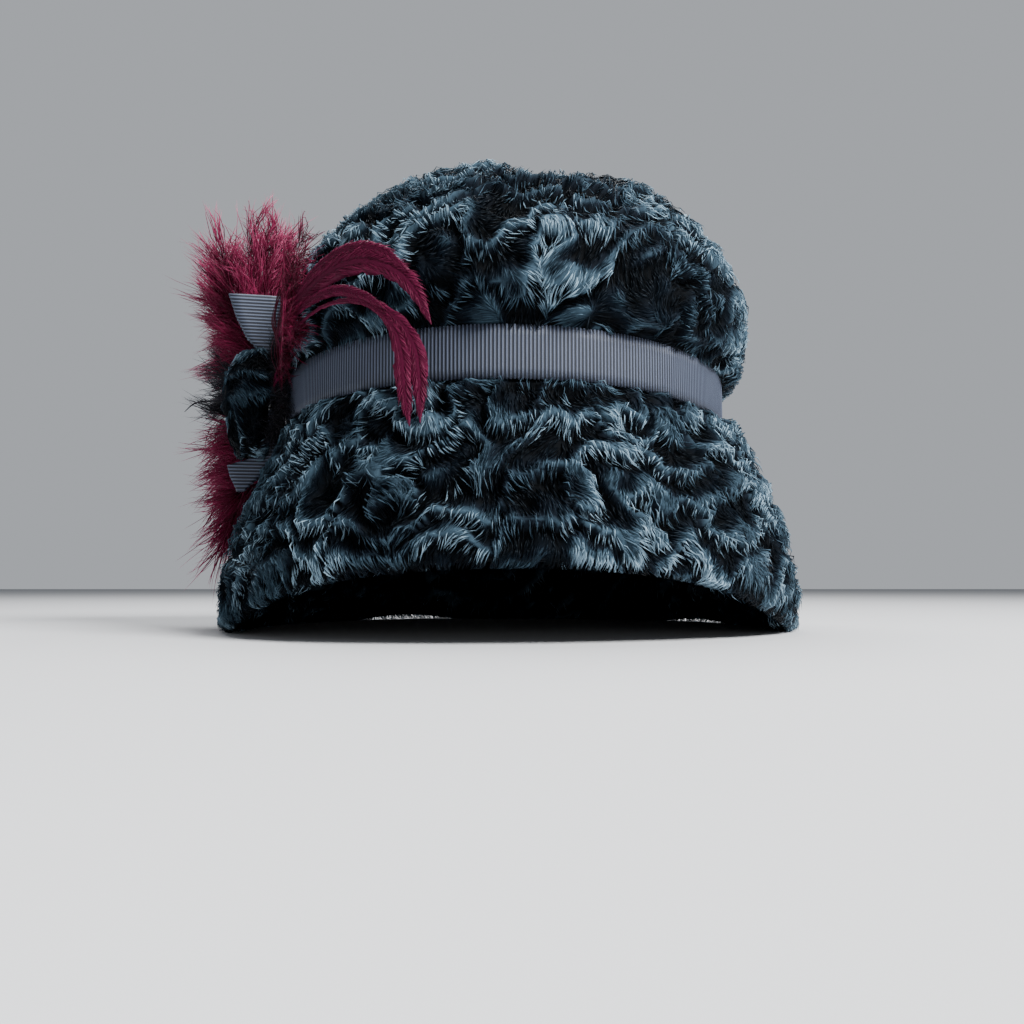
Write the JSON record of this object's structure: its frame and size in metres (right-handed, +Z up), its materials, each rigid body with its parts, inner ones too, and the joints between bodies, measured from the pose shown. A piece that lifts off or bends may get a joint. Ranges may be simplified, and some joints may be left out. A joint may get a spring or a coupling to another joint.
{
  "type": "cloche hat",
  "caption": "Cloche hat of curly fur cloth with a drooping bell brim, a ribbon band and a feather cockade on one side.",
  "frame": {"origin": "middle of the hat's box, on the surface that the brim lies on", "axes": "+Z up through the crown; the front of the hat faces -Y; the cockade is on the wearer's right, -X"},
  "size_m": [0.246, 0.2512, 0.1751],
  "materials": {
    "fur_cloth": "curly pile, black with blue-grey tips",
    "grosgrain": "ribbed ribbon with a low sheen",
    "burgundy_feather": "dyed marabou and hackle",
    "black_feather": "dyed marabou"
  },
  "bodies": {
    "root": {"crown_side": "fur_cloth", "crown_tip": "fur_cloth", "brim_upper": "fur_cloth", "brim_facing": "fur_cloth", "hat_band": "grosgrain", "plume": "burgundy_feather", "black_tuft": "black_feather", "hackle_upper": "burgundy_feather", "hackle_lower": "burgundy_feather", "fur_button": "fur_cloth", "loop_upper": "grosgrain", "loop_lower": "grosgrain"}
  },
  "joints": []
}
